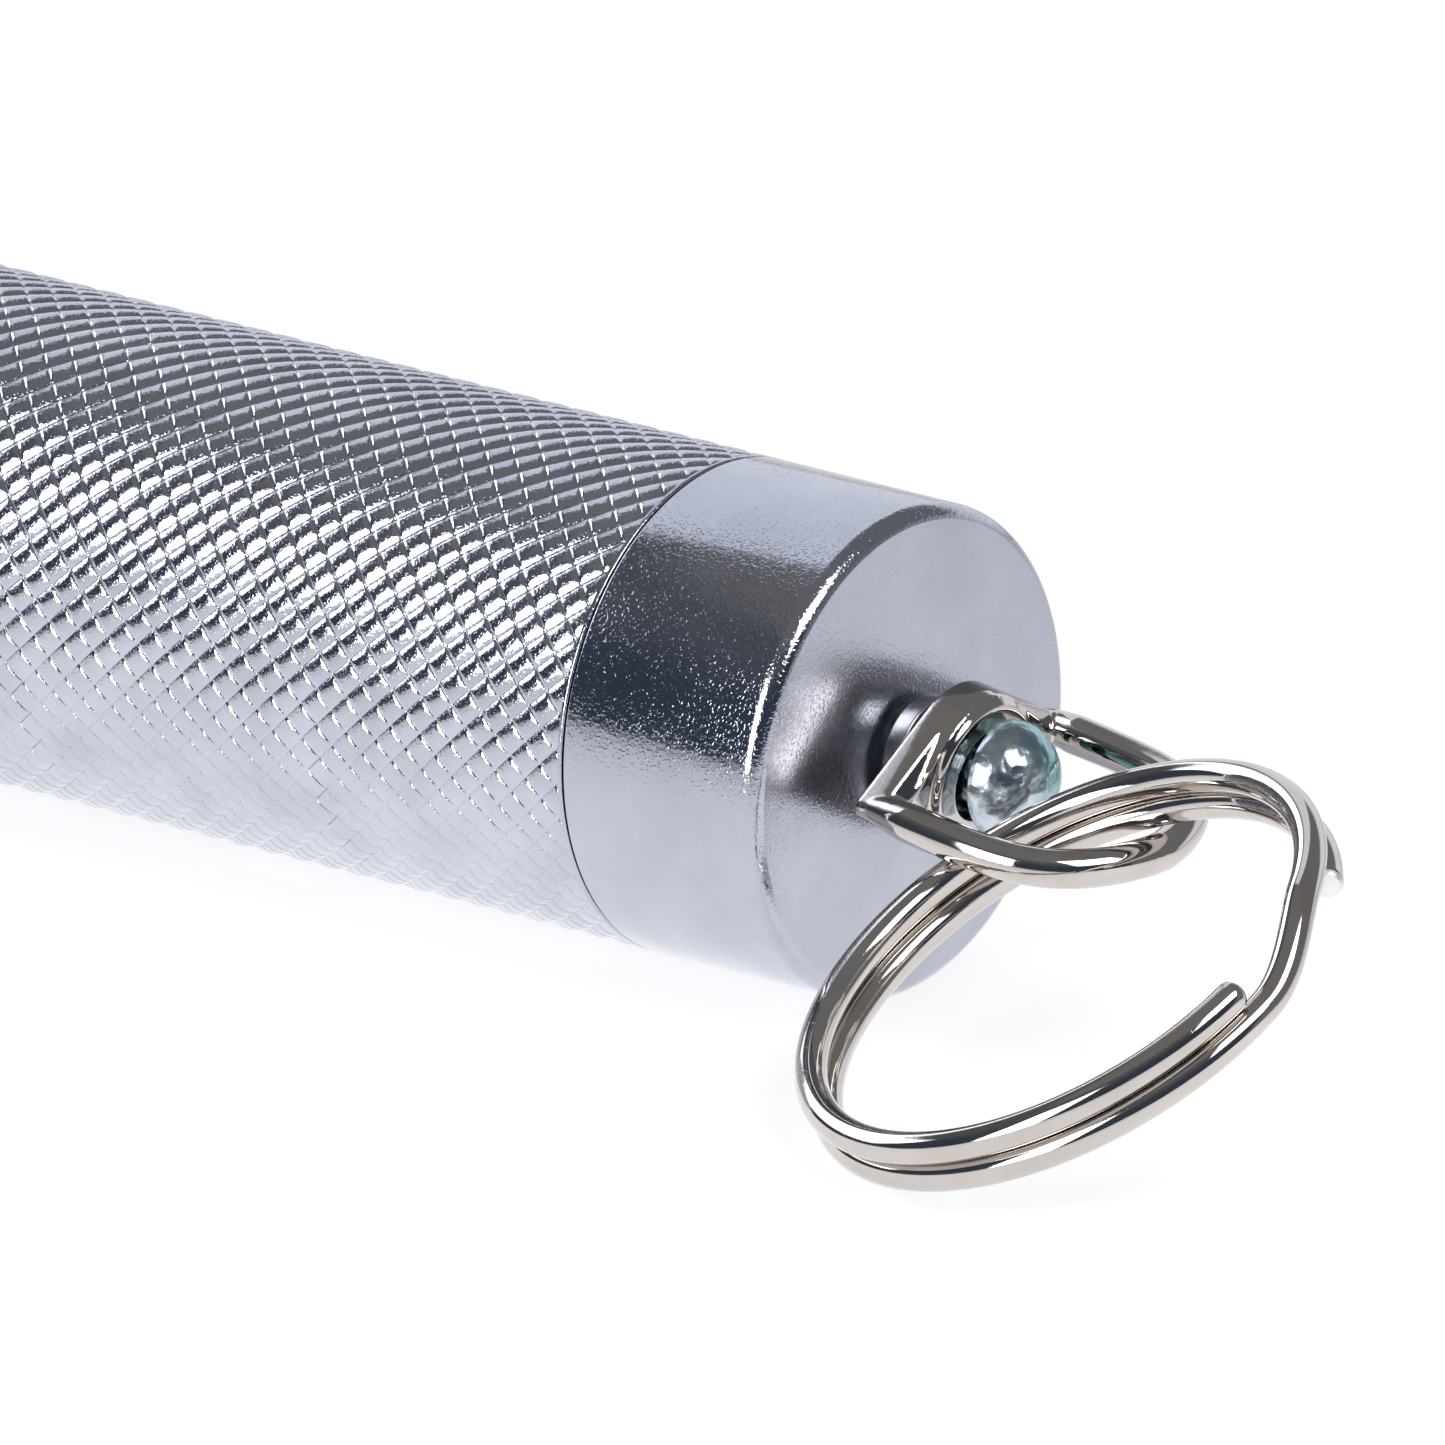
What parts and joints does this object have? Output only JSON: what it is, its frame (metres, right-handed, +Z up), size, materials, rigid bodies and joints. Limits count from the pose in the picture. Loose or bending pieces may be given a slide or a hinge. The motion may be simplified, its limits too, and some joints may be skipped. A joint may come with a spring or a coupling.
{
  "type": "keychain flashlight",
  "caption": "Slim cylindrical metal flashlight with a diamond-knurled barrel, twist head and screw tail cap, hung by a swivelling D-loop and a split ring.",
  "frame": {"origin": "bottom centre of the whole object's bounding box, lying on its side; the barrel's axis is 7.5 mm above it", "axes": "+Z up; +X along the barrel from the lens to the tail and key ring; the split ring leans towards -Y"},
  "size_m": [0.0916, 0.023, 0.015],
  "materials": {
    "chrome_plate": "bright chrome plate with a fine orange-peel texture; diamond knurl on the barrel",
    "nickel_plate": "bright nickel plate, slightly warm",
    "zinc_plate": "blue bright zinc plate",
    "cell_steel": "nickel-plated steel",
    "spring_steel": "bright drawn wire",
    "brass": "turned brass",
    "black_rubber": "moulded rubber",
    "cell_jacket_film": "plain shrink film with no print",
    "white_plastic": "moulded",
    "board_laminate": "solder-masked laminate",
    "ferrite": "pressed ferrite",
    "led_ceramic": "phosphor under a clear dome",
    "reflector_mirror": "vacuum-metallised, lightly textured",
    "lens_glass": "clear flat window"
  },
  "bodies": {
    "barrel": {"barrel": "chrome_plate", "tail_oring": "black_rubber", "neck_oring": "black_rubber"},
    "cell": {"cell_can": "cell_steel", "cell_jacket": "cell_jacket_film", "cell_seal": "white_plastic", "cell_positive_cap": "cell_steel"},
    "led_module": {"led_pill": "brass", "contact_post": "brass", "driver_board": "board_laminate", "driver_inductor": "ferrite", "led_board": "board_laminate", "led_emitter": "led_ceramic"},
    "head": {"head_shell": "chrome_plate", "reflector": "reflector_mirror", "lens": "lens_glass", "lens_oring": "black_rubber", "bezel": "chrome_plate"},
    "tail_spring": {"tail_spring": "spring_steel"},
    "tail_cap": {"tail_cap": "chrome_plate", "swivel_rivet": "zinc_plate", "rivet_washer": "cell_steel"},
    "swivel_spacer": {"swivel_spacer": "cell_steel"},
    "swivel_loop": {"swivel_loop": "nickel_plate"},
    "split_ring": {"split_ring": "nickel_plate"}
  },
  "joints": [
    {"name": "head_advance", "type": "slide", "parent": "barrel", "child": "led_module", "axis": [-1, 0, 0], "range_m": [0, 0.00051]},
    {"name": "head_twist", "type": "hinge", "parent": "led_module", "child": "head", "pos_m": [-0.03, 0.004, 0.0075], "axis": [-1, 0, 0], "range_deg": [0, 180]},
    {"name": "cell_travel", "type": "slide", "parent": "barrel", "child": "cell", "axis": [-1, 0, 0], "range_m": [0, 0.00051], "deforming": ["tail_spring"]},
    {"name": "tail_advance", "type": "slide", "parent": "barrel", "child": "tail_spring", "axis": [1, 0, 0], "range_m": [0, 0.00188], "deforming": ["tail_spring"]},
    {"name": "tail_twist", "type": "hinge", "parent": "tail_spring", "child": "tail_cap", "pos_m": [0.022, 0.004, 0.0075], "axis": [1, 0, 0], "range_deg": [0, 900]},
    {"name": "swivel_spin", "type": "hinge", "parent": "tail_cap", "child": "swivel_spacer", "pos_m": [0.0263, 0.004, 0.0075], "axis": [1, 0, 0], "continuous": true},
    {"name": "loop_rock", "type": "hinge", "parent": "swivel_spacer", "child": "swivel_loop", "pos_m": [0.02781, 0.004, 0.0075], "axis": [0, -0.9974, -0.0715], "range_deg": [0, 17.2]},
    {"name": "ring_swing", "type": "hinge", "parent": "swivel_loop", "child": "split_ring", "pos_m": [0.03491, 0.00408, 0.00643], "axis": [0, -0.9974, -0.0715], "range_deg": [0, 100]}
  ],
  "couplings": [
    {"joint": "head_advance", "follows": "head_twist", "m_per_rad": 0.00015915},
    {"joint": "cell_travel", "follows": "head_twist", "m_per_rad": 0.00015915},
    {"joint": "tail_advance", "follows": "tail_twist", "m_per_rad": 0.00011937}
  ]
}
